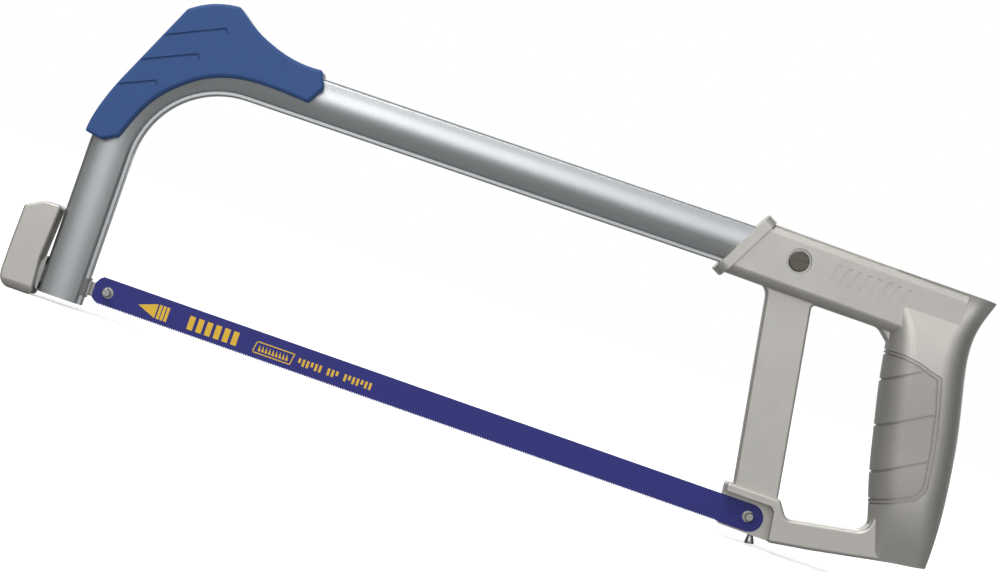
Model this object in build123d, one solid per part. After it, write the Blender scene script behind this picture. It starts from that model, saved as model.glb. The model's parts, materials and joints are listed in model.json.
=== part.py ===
from build123d import *
import os
from math import atan2, cos, degrees, radians, sin, tan

# ---------------------------------------------------------------- driving dimensions, mm
# Side-view coordinates: x runs from the toe to the handle, z runs up, both from the centre of
# the front blade hole. y is the thickness; the blade slips off towards -y.

# blade
HOLE_SPAN = 300.0           # centre to centre of the blade holes
HOLE_D = 5.1
BLADE_BACK = 6.2            # top edge of the blade
BLADE_ROOT = -5.4           # roots of the teeth
BLADE_TOE, BLADE_HEEL = -6.5, 307.0
BLADE_THICK = 0.65
BLADE_FACE = -0.05          # far face of the blade, just clear of its seats
TOOTH_PITCH = 25.4 / 24
TOOTH_DEEP = 0.75
TEETH_FROM, TEETH_TO = -3.4, 288.0
PIN_D = 4.0
PIN_STRETCH = 0.5           # each pin stands this far outside its hole centre, pulling the blade tight
PIN_PROUD = -3.3            # free end of both blade pins

# spine tube
TUBE_WIDE = 13.0
TUBE_DEEP = 20.2            # over body and lip
TUBE_WALL = 1.5
TUBE_CORNER = 2.6
TUBE_CROWN = 18.0           # radius of the bulged flanks
LIP_DEEP, LIP_WIDE = 1.6, 6.6
BEND_X, BEND_Z, BEND_R = 30.0, 61.2, 49.4
SPINE_SLOPE = 0.5           # degrees, rising to the handle
ARM_END = -8.2
TUBE_TAIL = 304.0

# drawbar, guide and thrust plate
BAR = 6.3                   # square drawbar
BAR_Z = -0.7
RUN = 0.05                  # running clearance per side
GUIDE_OUT = 8.0
GUIDE_FLANGE, FLANGE_THICK = 8.8, 0.6
PLATE_TALL, PLATE_WIDE = 15.0, 12.4
PLATE_FACE = -31.8          # crown of the thrust plate, towards the lever

# tension lever
PIVOT_X = -37.0
PIVOT_D = 4.0
CAM_R = 5.15                # lever closed
CAM_FALL = 0.9              # let off between closed and open
OPEN_ANGLE = 110.0
CHEEK_OUT, CHEEK_IN = 8.8, 6.85
LOBE_IN = 3.3
LEVER_WEB = 2.6

# handle
BAR_HALF = 10.5             # half widths, top to bottom
COLLAR_HALF = 11.8
STRUT_HALF = 5.0
FOOT_HALF = 8.0
GRIP_HALF = 14.0
GRIP_ROUND = 0.94           # corner radius of the grip over its half width
PAD_DEEP = 2.5
GROOVE_DEEP, GROOVE_WIDE = 0.8, 1.3
SCREW_X, SCREW_Z = 283.3, 114.0
STUD_X, STUD_TILT = 304.0, 10.0

# front grip
FRONT_HALF = 12.0

# middle and underside of the whole saw, moved to the origin
MID_X, LOW_Z = 167.45, -11.8


# ---------------------------------------------------------------- helpers
def slab(face, y0, y1):
    """Thicken a side-view outline from depth y0 to depth y1."""
    return Pos(0, y0, 0) * extrude(Plane.XZ * face, amount=-(y1 - y0))


def outline(*points):
    """Straight-sided face through side-view points."""
    return make_face(Polyline(*points, close=True))


def rounded(face, radii):
    """Round chosen corners of a face: each entry is (x, z, radius)."""
    for x, z, radius in radii:
        corner = face.vertices().sort_by_distance((x, z, 0))[0]
        face = fillet(corner, radius)
    return face


def slot_line(points, wide):
    """Round-cornered line of one width through side-view points."""
    line = Sketch()
    for (x0, z0), (x1, z1) in zip(points, points[1:]):
        lean = degrees(atan2(z1 - z0, x1 - x0))
        length = ((x1 - x0) ** 2 + (z1 - z0) ** 2) ** 0.5
        line += Pos((x0 + x1) / 2, (z0 + z1) / 2) * Rot(0, 0, lean) * SlotCenterToCenter(length, wide)
    return line


def rod(x, z, diameter, y0, y1):
    """Round bar along y."""
    return slab(Pos(x, z) * Circle(diameter / 2), y0, y1)


def beam(x0, x1, z, width_y, height_z):
    """Square bar along x, centred on height z."""
    return Pos((x0 + x1) / 2, 0, z) * Box(x1 - x0, width_y, height_z)


# ---------------------------------------------------------------- spine tube
def tube_path(low, tail):
    """Centre line: up the arm, round the bend and along the spine."""
    slope = radians(SPINE_SLOPE)
    arm = BEND_X - BEND_R
    start, turn = Vector(arm, 0, low), Vector(arm, 0, BEND_Z)
    mid_angle = radians(135 + SPINE_SLOPE / 2)
    middle = Vector(BEND_X + BEND_R * cos(mid_angle), 0, BEND_Z + BEND_R * sin(mid_angle))
    leave = Vector(BEND_X - BEND_R * sin(slope), 0, BEND_Z + BEND_R * cos(slope))
    end = leave + Vector(tail - leave.X, 0, (tail - leave.X) * tan(slope))
    return Line(start, turn) + ThreePointArc(turn, middle, leave) + Line(leave, end)


def bulged(wall=0.0):
    """Body of the tube section with bulged flanks; wall gives the bore."""
    long, wide, crown = TUBE_DEEP - LIP_DEEP - 2 * wall, TUBE_WIDE - 2 * wall, TUBE_CROWN - wall
    shape = Rectangle(long, wide)
    for side in (-1, 1):
        shape &= Pos(0, side * (wide / 2 - crown)) * Circle(crown)
    return Pos(-LIP_DEEP / 2) * fillet(shape.vertices(), TUBE_CORNER - wall)


def tube_section(low):
    """Outer shape of the tube across the arm, with the lip on the inside of the frame."""
    lip = Pos(TUBE_DEEP / 2 - 3) * RectangleRounded(6, LIP_WIDE, 0.6)
    return Plane((BEND_X - BEND_R, 0, low)) * (bulged() + lip)


def tube_outer(low=ARM_END, tail=TUBE_TAIL):
    return sweep(tube_section(low), path=tube_path(low, tail))


def spine_tube():
    low = ARM_END - 1
    hollow = sweep(Plane((BEND_X - BEND_R, 0, low)) * bulged(TUBE_WALL), path=tube_path(low, TUBE_TAIL + 1))
    tube = tube_outer() - hollow
    tube -= beam(-31, -7, BAR_Z, GUIDE_OUT, GUIDE_OUT)
    tube -= rod(SCREW_X, SCREW_Z, 5.2, -8, 0)
    tube -= rod(SCREW_X, SCREW_Z, 6.1, 0, 8)
    return tube


def arm_end_plug():
    """Cap flush with the tube, with a tongue up inside it."""
    cap = extrude(tube_section(ARM_END), amount=-0.8)
    tongue = extrude(Plane((BEND_X - BEND_R, 0, ARM_END)) * bulged(TUBE_WALL), amount=2.6)
    return cap + tongue


# ---------------------------------------------------------------- front grip
def front_grip():
    back = [(15.0, 138.2), (19.0, 135.2), (25.0, 131.2), (32.0, 127.9), (40.0, 125.2),
            (49.0, 123.7), (58.0, 123.9)]
    crown = [(15.0, 138.2), (5.0, 136.3), (-6.8, 129.8)]
    nose = [(-6.8, 129.8), (-24.0, 92.0)]
    tip = [(-24.0, 92.0), (-28.6, 80.0), (-31.2, 69.5), (-31.6, 64.6)]
    inner = [(-24.0, 63.2), (-17.0, 66.8), (-14.2, 74.5), (-10.2, 83.4), (-5.5, 90.3),
             (1.0, 96.8), (10.0, 103.3), (22.0, 107.8), (36.0, 109.3), (56.6, 108.4)]
    edge = (Spline(*back) + Line(back[-1], (61.2, 116.6)) + Line((61.2, 116.6), inner[-1])
            + Spline(*inner[1:]) + Line(inner[0], inner[1]) + Line(tip[-1], inner[0])
            + Spline(*tip, tangents=((-0.41, -0.91), (0, -1))) + Line(*nose)
            + Spline(*crown))
    face = rounded(make_face(edge), [(15, 138.2, 2.0), (-6.8, 129.8, 3.0), (58, 123.9, 1.5),
                                     (61.2, 116.6, 2.0), (56.6, 108.4, 1.5), (-31.6, 64.6, 0.8)])
    grip = slab(face, -FRONT_HALF, FRONT_HALF)
    rims = grip.edges().filter_by_position(Axis.Y, -FRONT_HALF, -FRONT_HALF)
    rims += grip.edges().filter_by_position(Axis.Y, FRONT_HALF, FRONT_HALF)
    grip = fillet(rims, 1.6)
    for points in ([(-12.5, 115.5), (12.0, 127.0), (13.2, 125.6)],
                   [(-18.5, 102.0), (4.0, 112.4), (5.2, 111.0)],
                   [(-24.0, 88.8), (-9.6, 95.3), (-8.4, 93.9)]):
        line = slot_line(points, 1.0)
        grip -= slab(line, -20, GROOVE_DEEP - FRONT_HALF) + slab(line, FRONT_HALF - GROOVE_DEEP, 20)
    return grip - tube_outer(40, 80)


# ---------------------------------------------------------------- handle
PAD_TOP = [(325, 90.8), (333, 90.4), (340, 90.6), (348, 89.4), (353.5, 87.6), (359, 86.2)]
PAD_FOOT = [(368.8, 40), (368.9, 36.5), (365.5, 31.2), (358, 27.4), (349.3, 23.8), (335, 18)]
GRIP_SECTIONS = [           # height, finger side, back, half width
    (125.2, 318.0, 372.9, 9.6),
    (112.0, 324.0, 368.9, 10.2),
    (98.0, 331.0, 368.7, GRIP_HALF - 1.2),
    (80.0, 334.5, 372.4, GRIP_HALF),
    (60.0, 338.8, 376.7, GRIP_HALF),
    (40.0, 343.5, 379.7, GRIP_HALF),
    (20.0, 349.5, 381.5, GRIP_HALF - 1.4),
    (8.0, 352.0, 381.7, GRIP_HALF - 4.4),
    (-8.0, 352.0, 381.8, FOOT_HALF - 0.4),
]


def grip_body():
    """Rounded hand grip, blended through its sections."""
    rings = []
    for z, front, back, half in GRIP_SECTIONS:
        ring = RectangleRounded(back - front, 2 * half, GRIP_ROUND * half)
        rings.append(Plane(((front + back) / 2, 0, z)) * ring)
    return loft(rings)


def grip_core(depth):
    """What is left of the grip below a skin of one depth on flanks and finger side."""
    front = [(x + depth, z) for z, x, back, half in GRIP_SECTIONS[1:-1]]
    face = make_face(Spline(*front) + Polyline(front[-1], (395, front[-1][1]), (395, front[0][1]), front[0]))
    half = GRIP_HALF - depth
    core = slab(face, -half, half)
    shoulders = core.edges().filter_by(GeomType.BSPLINE)
    return fillet(shoulders, GRIP_ROUND * GRIP_HALF - depth)


def pad_room():
    """Everything outside the core of the grip, within the outline of the pad."""
    return slab(pad_face(), -20, 20) - grip_core(PAD_DEEP)


def pad_face():
    """Side view of the finger pad, open-handed towards the finger side."""
    back = Spline(PAD_TOP[-1], (363.0, 72.0), (366.3, 57.0), PAD_FOOT[0])
    return make_face(Polyline(*PAD_TOP) + back + Polyline(*PAD_FOOT) + Line(PAD_FOOT[-1], PAD_TOP[0]))


def finger_grip_pad():
    """Pad wrapped round the finger side: seam, border line and three slanted grooves of one depth."""
    pad = grip_body() & pad_room()
    below = grip_core(GROOVE_DEEP)
    for x0, z0, x1, z1 in [(325.0, 70.0, 353.0, 87.0), (330.0, 50.8, 361.0, 68.8),
                           (334.0, 30.4, 364.5, 48.2)]:
        line = outline((x0, z0), (x1, z1), (x1, z1 + GROOVE_WIDE), (x0, z0 + GROOVE_WIDE))
        pad -= slab(line, -20, 20) - below
    border = [(325, 88.4), (340, 88.6), (348, 87.4), (353, 85.7), (357.2, 84.5), (361.2, 70.5),
              (364.2, 56), (366.6, 40), (366.6, 37.2), (364.2, 33), (357.2, 29.4), (350, 26.4), (336, 21.5)]
    seam = PAD_TOP + [(363.0, 72.0), (366.3, 57.0)] + PAD_FOOT
    for points, wide in [(border, 0.8), (seam, 1.1)]:
        pad -= slab(slot_line(points, wide), -20, 20) - below
    return pad


def blade_seat():
    """Open pocket the rear end of the blade lies in, bounded above and behind by a rib."""
    face = outline((270, -12), (270, 8.4), (307.5, 8.4), (309.6, 6.4), (312.3, -12))
    return slab(rounded(face, [(307.5, 8.4, 1.2)]), -FOOT_HALF - 1, 0)


def handle_web():
    """Strut between top bar and rear blade seat, with rounded inside corners."""
    face = outline((258, 104), (262, 99.8), (274.4, 99.8), (289.6, 10), (310, 10), (295.4, 98.2),
                   (327, 98.2), (334, 92), (340, 104))
    face = rounded(face, [(274.4, 99.8, 6.0), (295.4, 98.2, 2.0), (327, 98.2, 6.0)])
    web = slab(face, -STRUT_HALF, STRUT_HALF)
    rims = web.edges().filter_by_position(Axis.Y, -STRUT_HALF, -STRUT_HALF)
    rims += web.edges().filter_by_position(Axis.Y, STRUT_HALF, STRUT_HALF)
    return fillet(rims, 1.2)


def handle_foot():
    """Rear blade seat and the bar that joins it to the grip."""
    face = outline((287.5, -7.0), (285.6, 12.3), (310.5, 12.3), (315.6, 5.0), (350.6, 11.2), (352.6, 24.0),
                   (362, 24), (375, 3.6), (365, 2.0), (350, -0.8), (330, -4.5), (312.4, -7.2))
    face = rounded(face, [(310.5, 12.3, 1.6), (315.6, 5.0, 4.0), (350.6, 11.2, 6.0), (285.6, 12.3, 1.6),
                          (287.5, -7.0, 2.0)])
    foot = slab(face, -FOOT_HALF, FOOT_HALF)
    rims = foot.edges().filter_by_position(Axis.Y, -FOOT_HALF, -FOOT_HALF)
    rims += foot.edges().filter_by_position(Axis.Y, FOOT_HALF, FOOT_HALF)
    return fillet(rims, 1.4)


def handle_bar():
    """Top bar with its rounded edges, cut off along the slant of the collar."""
    section = RectangleRounded(2 * BAR_HALF, 27.2, 4.2)
    bar = Pos(247, 0, 112.8) * Rot(0, 0.6, 0) * extrude(Plane.YZ * section, amount=112)
    slant = outline((230, 85), (252.5, 97.0), (270.0, 130.0), (230, 135))
    return bar - slab(slant, -20, 20)


def collar():
    """Slanted rib round the tube where it enters the handle."""
    section = RectangleRounded(2 * COLLAR_HALF, 34.0, 5.0)
    rib = extrude(Plane.YZ * section, amount=4.4)
    return Pos(258.9, 0, 113.1) * Rot(0, 27.8, 0) * Pos(-2.2, 0, 0) * rib


def handle_casting():
    body = handle_bar() + collar() + handle_web() + handle_foot()
    under = outline((305, -40), (312.4, -7.2), (330, -4.5), (350, -0.8), (365, 2.0), (390, 5.6), (390, -40))
    body += grip_body() - slab(under, -20, 20)
    body -= pad_room()
    body -= blade_seat()
    body -= tube_outer(40, TUBE_TAIL + 0.5)
    body -= rod(HOLE_SPAN + PIN_STRETCH, 0.3, PIN_D, -1, 6)
    body -= stud_frame() * Pos(0, 0, 1) * Cylinder(1.4, 8.0)
    body -= rod(SCREW_X, SCREW_Z, 11.4, -12, -8.7) + rod(SCREW_X, SCREW_Z, 5.2, -12, 0)
    body -= rod(SCREW_X, SCREW_Z, 11.4, 9.3, 12) + rod(SCREW_X, SCREW_Z, 6.1, 0, 12)
    return body - side_marks()


def side_marks():
    """Plain row of slanted bars sunk into both cheeks of the top bar."""
    bars = []
    for step in range(8):
        x = 298.0 + 4.6 * step
        bar = outline((x, 109.6), (x + 2.0, 109.6), (x + 4.2, 118.2), (x + 2.2, 118.2))
        bars += [slab(bar, -BAR_HALF - 1, -BAR_HALF + 0.5), slab(bar, BAR_HALF - 0.5, BAR_HALF + 1)]
    return Part() + bars


def stud_frame():
    """Where the flush-cut stud leaves the underside of the blade seat."""
    return Pos(STUD_X, 2.6, -7.0) * Rot(0, -STUD_TILT, 0)


def flush_cut_stud():
    shank = Pos(0, 0, 1) * Cylinder(1.4, 8.0)
    flare = Pos(0, 0, -1.8) * Cone(2.1, 1.4, 2.4)
    rim = Pos(0, 0, -3.5) * Cylinder(2.1, 1.0)
    return stud_frame() * (shank + flare + rim)


def rear_blade_pin():
    pin = rod(HOLE_SPAN + PIN_STRETCH, 0.3, PIN_D, PIN_PROUD, 6)
    return chamfer(pin.edges().sort_by(Axis.Y)[0], 0.4)


# ---------------------------------------------------------------- screw set of the handle bar
def spine_screw():
    head = rod(SCREW_X, SCREW_Z, 9.2, -10.6, -9.3)
    head = fillet(head.edges().sort_by(Axis.Y)[0], 0.5)
    shank = rod(SCREW_X, SCREW_Z, 4.0, -9.3, 2.0)
    slot = Pos(SCREW_X, -10.6, SCREW_Z) * Box(12, 1.4, 1.2)
    ring = rod(SCREW_X, SCREW_Z, 7.0, -11, -10.3) - rod(SCREW_X, SCREW_Z, 6.0, -12, -10)
    return head + shank - slot - ring


def screw_washer():
    ring = rod(SCREW_X, SCREW_Z, 11.2, -9.3, -8.7) - rod(SCREW_X, SCREW_Z, 5.0, -10, -8)
    return ring


def sleeve_nut():
    head = rod(SCREW_X, SCREW_Z, 11.0, 9.3, 10.3)
    head = fillet(head.edges().sort_by(Axis.Y)[-1], 0.5)
    sleeve = rod(SCREW_X, SCREW_Z, 6.0, -4.6, 9.3)
    slot = Pos(SCREW_X, 10.3, SCREW_Z) * Box(12, 1.0, 1.2)
    return head + sleeve - rod(SCREW_X, SCREW_Z, 4.0, -5, 2.0) - slot


def tube_spacer():
    half = 4.3
    return rod(SCREW_X, SCREW_Z, 8.8, -half, half) - rod(SCREW_X, SCREW_Z, 6.1, -half, half)


# ---------------------------------------------------------------- toe end
def drawbar_guide():
    inner, outer = BEND_X - BEND_R + TUBE_DEEP / 2, BEND_X - BEND_R - TUBE_DEEP / 2
    sleeve = beam(outer, inner, BAR_Z, GUIDE_OUT, GUIDE_OUT)
    flange = beam(inner, inner + FLANGE_THICK, BAR_Z, LIP_WIDE, GUIDE_FLANGE)
    return sleeve + flange - beam(-40, 0, BAR_Z, BAR + 2 * RUN, BAR + 2 * RUN)


def thrust_plate():
    """Steel saddle, flat on the arm and crowned towards the lever."""
    back = BEND_X - BEND_R - TUBE_DEEP / 2
    half = PLATE_TALL / 2
    edge = (Polyline((back - 0.9, BAR_Z - half), (back, BAR_Z - half), (back, BAR_Z + half),
                     (back - 0.9, BAR_Z + half))
            + ThreePointArc((back - 0.9, BAR_Z + half), (PLATE_FACE, BAR_Z), (back - 0.9, BAR_Z - half)))
    plate = slab(make_face(edge), -PLATE_WIDE / 2, PLATE_WIDE / 2)
    return plate - beam(-40, -20, BAR_Z, BAR + 2 * RUN, BAR + 2 * RUN)


def drawbar():
    """Square bar: eye for the lever at the toe, half-thickness tongue under the blade."""
    front = -PIN_STRETCH
    bar = beam(PIVOT_X, front + 5.5, BAR_Z, BAR, BAR)
    bar += rod(PIVOT_X, BAR_Z, BAR, -BAR / 2, BAR / 2)
    bar -= Pos(BLADE_TOE - 1.5 + 10, -BAR, BAR_Z) * Box(20, 2 * BAR, 2 * BAR)
    bar -= rod(PIVOT_X, BAR_Z, PIVOT_D, -BAR, BAR) + rod(front, 0, PIN_D, -BAR, BAR)
    return bar


def front_blade_pin():
    pin = rod(-PIN_STRETCH, 0, PIN_D, PIN_PROUD, BAR / 2)
    return chamfer(pin.edges().sort_by(Axis.Y)[0], 0.4)


def lever_pivot_pin():
    pin = rod(PIVOT_X, BAR_Z, PIVOT_D, -7.9, 10.0)
    return chamfer(pin.edges().sort_by(Axis.Y)[-1], 0.4)


def pivot_ring():
    ring = rod(PIVOT_X, BAR_Z, 8.0, CHEEK_OUT + 0.1, CHEEK_OUT + 0.7)
    return ring - rod(PIVOT_X, BAR_Z, PIVOT_D, CHEEK_OUT, CHEEK_OUT + 1)


def cam_face():
    """Spiral cam round the pivot: full radius when closed, falling as the lever opens."""
    rim = []
    for step in range(-3, 10):
        turn = 20.0 * step
        fall = CAM_FALL * min(max(turn, 0.0), 180.0) / OPEN_ANGLE
        polar = radians(-turn)
        radius = CAM_R - fall
        rim.append((PIVOT_X + radius * cos(polar), BAR_Z + radius * sin(polar)))
    top = (PIVOT_X - 3.5, BAR_Z + 12.0)
    right = (PIVOT_X + 3.5, BAR_Z + 12.0)
    return make_face(Spline(*rim) + Polyline(rim[-1], top, right, rim[0]))


def tension_lever():
    face = outline((-46.4, 25.2), (-38.6, 29.6), (-30.9, 29.8), (-31.4, 20.0), (-32.2, 5.0),
                   (-31.2, -7.0), (-30.8, -11.8), (-46.0, -11.8), (-46.9, -5.0), (-46.9, 6.0))
    face = rounded(face, [(-46.0, -11.8, 5.5), (-46.4, 25.2, 1.5), (-38.6, 29.6, 3.0), (-30.9, 29.8, 1.2),
                          (-30.8, -11.8, 2.0)])
    lever = slab(face, -CHEEK_OUT, CHEEK_OUT)
    end = RectangleRounded(2 * CHEEK_OUT, 60, 5.0)
    rounded_end = Pos(-50, 0, LOW_Z - 1.04 + 30) * extrude(Plane.YZ * end, amount=22)
    rims = lever.edges().filter_by_position(Axis.Y, -CHEEK_OUT, -CHEEK_OUT)
    rims += lever.edges().filter_by_position(Axis.Y, CHEEK_OUT, CHEEK_OUT)
    lever = fillet(rims, 1.0) & rounded_end
    inside = outline((-28, -14), (-28, 28.0), (-36, 27.6), (-46.9 + LEVER_WEB, 22.5),
                     (-46.9 + LEVER_WEB, 2.5), (-50, 1.5), (-50, -14))
    lever -= slab(inside, -CHEEK_IN, CHEEK_IN)
    for side in (-1, 1):
        low, high = sorted((side * LOBE_IN, side * CHEEK_IN))
        lever += slab(cam_face(), low, high)
    return lever - rod(PIVOT_X, BAR_Z, PIVOT_D + 2 * RUN, -8.0, 12)


# ---------------------------------------------------------------- blade
def blade():
    """Flat strip with two holes and raked teeth along its lower edge."""
    points = [(-3.4, BLADE_BACK), (BLADE_TOE, 2.4), (BLADE_TOE + 0.2, -3.2), (-4.0, BLADE_ROOT)]
    count = int((TEETH_TO - TEETH_FROM) / TOOTH_PITCH)
    for tooth in range(count):
        x = TEETH_FROM + tooth * TOOTH_PITCH
        points += [(x, BLADE_ROOT), (x + 0.15, BLADE_ROOT - TOOTH_DEEP),
                   (x + 0.35, BLADE_ROOT - TOOTH_DEEP)]
    end = TEETH_FROM + count * TOOTH_PITCH
    points += [(end, BLADE_ROOT), (end + 3, BLADE_ROOT - 0.8), (BLADE_HEEL - 5, BLADE_ROOT - 0.8)]
    heel = ThreePointArc(points[-1], (BLADE_HEEL, 0), (BLADE_HEEL - 4, BLADE_BACK))
    face = make_face(Polyline(*points) + heel + Line((BLADE_HEEL - 4, BLADE_BACK), points[0]))
    face = rounded(face, [(BLADE_TOE, 2.4, 1.5), (BLADE_TOE + 0.2, -3.2, 1.5)])
    face -= Circle(HOLE_D / 2) + Pos(HOLE_SPAN, 0.3) * Circle(HOLE_D / 2)
    return slab(face, BLADE_FACE - BLADE_THICK, BLADE_FACE)


# ---------------------------------------------------------------- files
PARTS = [spine_tube, arm_end_plug, front_grip, handle_casting, finger_grip_pad, spine_screw,
         screw_washer, sleeve_nut, tube_spacer, rear_blade_pin, flush_cut_stud, drawbar_guide,
         thrust_plate, drawbar, front_blade_pin, lever_pivot_pin, pivot_ring, tension_lever, blade]

os.makedirs("parts", exist_ok=True)
for make in PARTS:
    export_step(Pos(-MID_X, 0, -LOW_Z) * make(), f"parts/{make.__name__}.step")
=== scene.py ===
import bpy
import bmesh
import json
from math import cos, pi, radians, sin
from mathutils import Matrix, Vector


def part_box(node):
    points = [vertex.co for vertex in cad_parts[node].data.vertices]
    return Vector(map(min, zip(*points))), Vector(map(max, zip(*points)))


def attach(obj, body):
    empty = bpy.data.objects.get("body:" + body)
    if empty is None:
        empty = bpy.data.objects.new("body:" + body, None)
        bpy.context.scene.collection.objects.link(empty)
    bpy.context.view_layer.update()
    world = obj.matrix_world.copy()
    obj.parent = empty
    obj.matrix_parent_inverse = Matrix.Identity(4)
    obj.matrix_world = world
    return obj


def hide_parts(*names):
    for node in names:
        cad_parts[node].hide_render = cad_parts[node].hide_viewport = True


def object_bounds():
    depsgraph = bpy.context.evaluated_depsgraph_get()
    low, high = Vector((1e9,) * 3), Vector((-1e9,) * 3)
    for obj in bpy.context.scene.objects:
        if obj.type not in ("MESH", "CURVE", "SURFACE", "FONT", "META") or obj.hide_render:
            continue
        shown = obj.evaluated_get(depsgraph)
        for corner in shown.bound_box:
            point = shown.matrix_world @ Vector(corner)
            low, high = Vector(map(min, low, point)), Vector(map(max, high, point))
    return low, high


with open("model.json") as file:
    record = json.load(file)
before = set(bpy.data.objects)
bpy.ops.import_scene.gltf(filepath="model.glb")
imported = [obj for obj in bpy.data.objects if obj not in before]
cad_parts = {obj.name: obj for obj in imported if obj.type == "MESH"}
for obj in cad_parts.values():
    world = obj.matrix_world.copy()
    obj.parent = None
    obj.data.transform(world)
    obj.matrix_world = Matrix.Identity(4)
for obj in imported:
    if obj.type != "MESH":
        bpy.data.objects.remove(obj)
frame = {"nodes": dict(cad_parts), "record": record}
nodes = frame["nodes"]
cad_low, cad_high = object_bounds()

PIN_STRETCH = 0.0005        # the front pin stands this far outside the middle of its hole
HOLE_RADIUS = 2.55          # from here on down to PRINT_OUT in millimetres
HOLES = ((0.0, 0.0), (300.0, 0.3))
TOOTH_PITCH = 25.4 / 24
TEETH_FROM, TEETH = -3.4, 275
PRINT_IN, PRINT_OUT = 0.01, 0.03
SENSOR = 36.0               # camera, in millimetres
DISTANCE = 1.3              # from camera to saw, and the width seen there, in metres
VIEW_WIDE = 0.4427
ROLL = radians(19.304)

# middle of the front hole of the blade, in metres
pin_low, pin_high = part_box("front_blade_pin")
X0 = (pin_low.x + pin_high.x) / 2 + PIN_STRETCH
Z0 = (pin_low.z + pin_high.z) / 2


def at(x, z, y=0.0):
    """Row-frame point of side-view millimetres measured from the front blade hole."""
    return Vector((X0 + x / 1000, y / 1000, Z0 + z / 1000))


# ---------------------------------------------------------------- materials
def new_material(name):
    m = bpy.data.materials.new(name)
    m.use_nodes = True
    tree = m.node_tree
    shader = tree.nodes["Principled BSDF"]
    coords = tree.nodes.new("ShaderNodeTexCoord")
    return m, tree, shader, coords.outputs["Object"]


def noise(tree, where, scale, detail=3.0, rough=0.55, stretch=None):
    if stretch:
        mapping = tree.nodes.new("ShaderNodeMapping")
        mapping.inputs["Scale"].default_value = stretch
        tree.links.new(where, mapping.inputs["Vector"])
        where = mapping.outputs["Vector"]
    n = tree.nodes.new("ShaderNodeTexNoise")
    n.inputs["Scale"].default_value = scale
    n.inputs["Detail"].default_value = detail
    n.inputs["Roughness"].default_value = rough
    tree.links.new(where, n.inputs["Vector"])
    return n.outputs["Fac"]


def ramp(tree, value, stops):
    r = tree.nodes.new("ShaderNodeValToRGB")
    while len(r.color_ramp.elements) < len(stops):
        r.color_ramp.elements.new(0.5)
    for element, (place, colour) in zip(r.color_ramp.elements, stops):
        element.position = place
        element.color = (*colour, 1)
    tree.links.new(value, r.inputs["Fac"])
    return r.outputs["Color"]


def spread(tree, value, low, high):
    m = tree.nodes.new("ShaderNodeMapRange")
    m.inputs["From Min"].default_value = 0.3
    m.inputs["From Max"].default_value = 0.7
    m.inputs["To Min"].default_value = low
    m.inputs["To Max"].default_value = high
    tree.links.new(value, m.inputs["Value"])
    return m.outputs["Result"]


def add_bump(tree, shader, height, strength, distance):
    b = tree.nodes.new("ShaderNodeBump")
    b.inputs["Strength"].default_value = strength
    b.inputs["Distance"].default_value = distance
    tree.links.new(height, b.inputs["Height"])
    tree.links.new(b.outputs["Normal"], shader.inputs["Normal"])


def surface(name, dark, light, metallic, rough, grain, bump, stretch=None, coat=0.0, coat_rough=0.2,
            gloss=0.5):
    """Two close tones, roughness and relief, all from procedural noise."""
    m, tree, shader, where = new_material(name)
    broad = noise(tree, where, 60, 5.0, 0.65)
    fine = noise(tree, where, grain, 3.0, 0.6, stretch)
    mix = tree.nodes.new("ShaderNodeMath")
    mix.operation = "MULTIPLY_ADD"
    mix.inputs[1].default_value = 0.55
    tree.links.new(fine, mix.inputs[0])
    half = tree.nodes.new("ShaderNodeMath")
    half.operation = "MULTIPLY"
    half.inputs[1].default_value = 0.45
    tree.links.new(broad, half.inputs[0])
    tree.links.new(half.outputs[0], mix.inputs[2])
    tree.links.new(ramp(tree, mix.outputs[0], [(0.25, dark), (0.75, light)]), shader.inputs["Base Color"])
    tree.links.new(spread(tree, fine, rough[0], rough[1]), shader.inputs["Roughness"])
    shader.inputs["Metallic"].default_value = metallic
    shader.inputs["Specular IOR Level"].default_value = gloss
    shader.inputs["Coat Weight"].default_value = coat
    shader.inputs["Coat Roughness"].default_value = coat_rough
    add_bump(tree, shader, fine, bump, 0.0003)
    return m


LOOKS = {
    "tube": surface("tube_satin", (0.460, 0.482, 0.492), (0.535, 0.558, 0.568), 0.9,
                    (0.30, 0.37), 2600, 0.08, coat=0.1),
    "grip_blue": surface("grip_blue_plastic", (0.049, 0.109, 0.300), (0.058, 0.125, 0.335), 0.0,
                         (0.42, 0.52), 3000, 0.12, gloss=0.18),
    "casting": surface("casting_grey", (0.545, 0.530, 0.495), (0.640, 0.622, 0.583), 0.80,
                       (0.36, 0.46), 3200, 0.28),
    "lever": surface("lever_grey", (0.545, 0.530, 0.495), (0.640, 0.622, 0.583), 0.80,
                     (0.36, 0.46), 3200, 0.26),
    "pad": surface("pad_grey", (0.430, 0.415, 0.390), (0.505, 0.489, 0.460), 0.70,
                   (0.38, 0.48), 3600, 0.30),
    "screw_dark": surface("screw_dark", (0.09, 0.082, 0.07), (0.17, 0.155, 0.13), 0.9,
                          (0.26, 0.40), 1200, 0.15),
    "steel": surface("steel_bright", (0.36, 0.36, 0.35), (0.48, 0.48, 0.47), 1.0,
                     (0.22, 0.34), 1400, 0.08, (1, 1, 6)),
    "guide": surface("guide_grey", (0.16, 0.16, 0.16), (0.24, 0.24, 0.24), 0.9,
                     (0.35, 0.5), 1600, 0.15),
    "blade": surface("blade_enamel", (0.0280, 0.0330, 0.225), (0.0320, 0.0370, 0.250), 0.08,
                     (0.36, 0.48), 1400, 0.05, (0.3, 1, 3), gloss=0.35),
}
for part in frame["record"]["subparts"]:
    mesh = nodes[part["node"]].data
    mesh.materials.clear()
    mesh.materials.append(LOOKS[part["material_slot"]])

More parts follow.
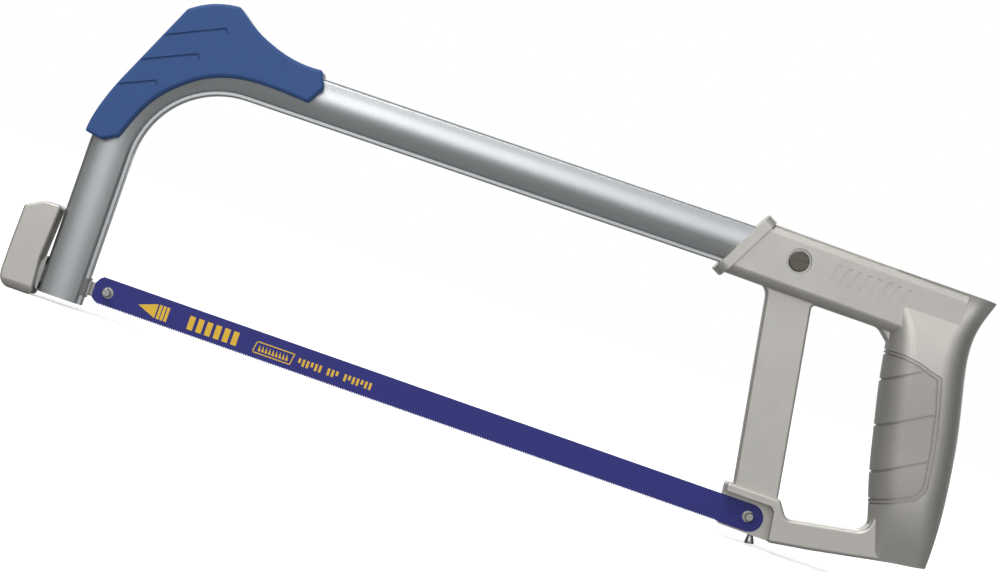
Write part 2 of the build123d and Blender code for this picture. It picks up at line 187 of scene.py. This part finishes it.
# ---------------------------------------------------------------- blade and its print
def plate(name, outline, y0, y1, look, body):
    """Flat piece from side-view points in millimetres, between two depths."""
    bm = bmesh.new()
    rear = [bm.verts.new(at(x, z, y1)) for x, z in outline]
    front = [bm.verts.new(at(x, z, y0)) for x, z in outline]
    bm.faces.new(rear)
    bm.faces.new(front[::-1])
    for k in range(len(outline)):
        n = (k + 1) % len(outline)
        bm.faces.new((front[k], front[n], rear[n], rear[k]))
    bmesh.ops.recalc_face_normals(bm, faces=bm.faces)
    data = bpy.data.meshes.new(name)
    bm.to_mesh(data)
    bm.free()
    o = bpy.data.objects.new(name, data)
    bpy.context.scene.collection.objects.link(o)
    data.materials.append(look)
    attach(o, body)


def blade_outline():
    """Side view of the blade in millimetres, tooth by tooth."""
    points = [(-3.6, 6.2), (-5.0, 5.2), (-6.5, 2.6), (-6.5, -2.6), (-6.0, -4.2), (-4.2, -5.5)]
    for tooth in range(TEETH):
        x = TEETH_FROM + tooth * TOOTH_PITCH
        points += [(x, -5.62), (x + 0.06, -6.2), (x + 0.22, -6.2), (x + 0.62, -5.80),
                   (x + 0.90, -5.58)]
    points += [(288.4, -6.0), (291.0, -6.25), (301.2, -6.25)]
    for step in range(13):
        turn = radians(-86 + 172 * step / 12)
        points.append((301.0 + 6.0 * cos(turn), -0.02 + 6.2 * sin(turn)))
    return points


def blade_mesh():
    """The CAD blade again, with the wavy set of its teeth."""
    low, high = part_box("blade")
    curve = bpy.data.curves.new("blade_wavy", "CURVE")
    curve.dimensions = "2D"
    curve.fill_mode = "BOTH"
    curve.extrude = (high.y - low.y) / 2
    rings = [blade_outline()]
    for x, z in HOLES:
        rings.append([(x + HOLE_RADIUS * cos(2 * pi * k / 40), z + HOLE_RADIUS * sin(2 * pi * k / 40))
                      for k in range(40)])
    for ring in rings:
        spline = curve.splines.new("POLY")
        spline.points.add(len(ring) - 1)
        for point, (x, z) in zip(spline.points, ring):
            point.co = (x / 1000, z / 1000, 0, 1)
        spline.use_cyclic_u = True
    made = bpy.data.objects.new("blade_curve", curve)
    data = bpy.data.meshes.new_from_object(made)
    bpy.data.objects.remove(made)
    middle = (low.y + high.y) / 2
    for v in data.vertices:
        x, z, y = v.co
        # wavy set: the tooth row swings to either side, and the roots stay in line
        deep = min(max((-0.0054 - z) / 0.0008, 0.0), 1.0)
        swing = 0.00016 * deep * sin(2 * pi * x / 0.0085) if x < 0.2885 else 0.0
        v.co = (X0 + x, middle + y + swing, Z0 + z)
    data.name = "blade_wavy"
    o = bpy.data.objects.new("blade_wavy", data)
    bpy.context.scene.collection.objects.link(o)
    data.materials.clear()
    data.materials.append(LOOKS["blade"])
    bm = bmesh.new()
    bm.from_mesh(data)
    bmesh.ops.remove_doubles(bm, verts=bm.verts, dist=1e-7)
    bmesh.ops.recalc_face_normals(bm, faces=bm.faces)
    bm.to_mesh(data)
    bm.free()
    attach(o, "blade_body")
    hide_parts("blade")


blade_mesh()
print_yellow = surface("print_yellow", (0.90, 0.540, 0.037), (0.97, 0.620, 0.052), 0.0,
                       (0.40, 0.55), 1800, 0.10)
face_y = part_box("blade")[0].y * 1000


def print_on(name, outline):
    plate(name, outline, face_y - PRINT_OUT, face_y + PRINT_IN, print_yellow, "blade_body")


def bar(x0, x1, z0, z1, slant=0.0):
    return [(x0, z0), (x1, z0), (x1 + slant, z1), (x0 + slant, z1)]


print_on("print_arrow", [(14.5, -0.3), (23.0, -3.7), (23.0, 2.8)])
for k in range(3):
    print_on(f"print_bar_{k}", bar(23.7 + 1.75 * k, 25.0 + 1.75 * k, -3.7, 2.8))
for k in range(6):
    x = 38.0 + 4.1 * k
    print_on(f"print_block_{k}", bar(x, x + 2.6, -3.5, 2.7))
for k, (x0, x1, z0, z1) in enumerate([(69.5, 87.0, 1.5, 2.0), (68.6, 86.1, -3.5, -3.0)]):
    print_on(f"print_frame_{k}", bar(x0, x1, z0, z1))
print_on("print_frame_2", bar(68.6, 69.1, -3.5, 2.0, 0.9))
print_on("print_frame_3", bar(86.0, 86.5, -3.5, 2.0, 0.9))
for k in range(9):
    x = 71.0 + 1.6 * k
    print_on(f"print_tooth_{k}", [(x, -2.2), (x + 1.25, -2.2), (x + 0.25, 0.7)])
for k in range(18):
    x = 89.5 + 1.95 * k
    if k not in (6, 10):
        print_on(f"print_tick_{k}", bar(x, x + 1.1, -2.3 if k % 3 else -1.2, 0.9))

# ---------------------------------------------------------------- stage, light and camera
bpy.ops.mesh.primitive_plane_add(size=30, location=(0, 0, cad_low.z))
floor = bpy.context.object
floor.name = "floor"
floor_look = surface("floor_pale", (0.93, 0.93, 0.93), (0.97, 0.97, 0.97), 0.0, (0.7, 0.8), 40, 0.02)
# the sheet glows a little so that it stays white, and throws little light back up
tree = floor_look.node_tree
sheet = tree.nodes["Principled BSDF"]
sheet.inputs["Emission Color"].default_value = (1, 1, 1, 1)
sheet.inputs["Emission Strength"].default_value = 0.42
ray = tree.nodes.new("ShaderNodeLightPath")
dim = tree.nodes.new("ShaderNodeBsdfDiffuse")
dim.inputs["Color"].default_value = (0.30, 0.30, 0.30, 1)
blend = tree.nodes.new("ShaderNodeMixShader")
tree.links.new(ray.outputs["Is Camera Ray"], blend.inputs[0])
tree.links.new(dim.outputs[0], blend.inputs[1])
tree.links.new(sheet.outputs[0], blend.inputs[2])
tree.links.new(blend.outputs[0], tree.nodes["Material Output"].inputs["Surface"])
floor.data.materials.append(floor_look)

world = bpy.data.worlds.new("studio")
world.use_nodes = True
sky = world.node_tree
background = sky.nodes["Background"]
direction = sky.nodes.new("ShaderNodeTexCoord")
split = sky.nodes.new("ShaderNodeSeparateXYZ")
sky.links.new(direction.outputs["Generated"], split.inputs[0])


def sky_math(operation, first, second):
    """One step of the sky's brightness; numbers and sockets both work."""
    step = sky.nodes.new("ShaderNodeMath")
    step.operation = operation
    for socket, value in zip(step.inputs, (first, second)):
        if isinstance(value, (int, float)):
            socket.default_value = value
        else:
            sky.links.new(value, socket)
    return step.outputs[0]


# soft boxes on both flat sides of the saw, a weaker one above, and dark ends
sideways = sky_math("POWER", sky_math("ABSOLUTE", split.outputs["Y"], 0), 4.0)
above = sky_math("MULTIPLY", sky_math("MAXIMUM", split.outputs["Z"], 0), 0.28)
shade = sky_math("ADD", sky_math("ADD", sky_math("MULTIPLY", sideways, 1.40), 0.03), above)
seen = sky.nodes.new("ShaderNodeLightPath")
choose = sky.nodes.new("ShaderNodeMix")
choose.data_type = "FLOAT"
choose.inputs["B"].default_value = 1.0
sky.links.new(seen.outputs["Is Camera Ray"], choose.inputs["Factor"])
sky.links.new(shade, choose.inputs["A"])
sky.links.new(choose.outputs["Result"], background.inputs["Strength"])
background.inputs["Color"].default_value = (1, 1, 1, 1)
bpy.context.scene.world = world
bpy.context.scene.view_settings.view_transform = "Standard"


def area_light(name, place, target, size, power):
    light = bpy.data.lights.new(name, "AREA")
    light.shape = "RECTANGLE"
    light.size, light.size_y = size
    light.energy = power
    o = bpy.data.objects.new(name, light)
    bpy.context.scene.collection.objects.link(o)
    o.location = place
    o.rotation_euler = (Vector(target) - Vector(place)).to_track_quat("-Z", "Y").to_euler()


sun = bpy.data.objects.new("sun", bpy.data.lights.new("sun", "SUN"))
bpy.context.scene.collection.objects.link(sun)
sun.data.angle = radians(35)
sun.data.energy = 1.5
sun.rotation_euler = Vector((0.36, 0.36, -0.86)).to_track_quat("-Z", "Y").to_euler()
area_light("key", (-0.35, -1.15, 0.6), (0.0, 0, 0.07), (0.7, 0.7), 2.5)
area_light("back", (0.35, 1.15, 0.8), (0, 0, 0.07), (0.7, 0.7), 2.5)

camera = bpy.data.cameras.new("camera")
camera.sensor_width = SENSOR
camera.lens = SENSOR * DISTANCE / VIEW_WIDE
camera.clip_start = 0.01
right = Vector((cos(ROLL), 0, sin(ROLL)))
up = Vector((-sin(ROLL), 0, cos(ROLL)))
eye = bpy.data.objects.new("camera", camera)
bpy.context.scene.collection.objects.link(eye)
place = at(162.8, 60.3, -1000 * DISTANCE)
basis = Matrix((right, up, Vector((0, -1, 0)))).transposed().to_4x4()
eye.matrix_world = Matrix.Translation(place) @ basis
bpy.context.scene.camera = eye
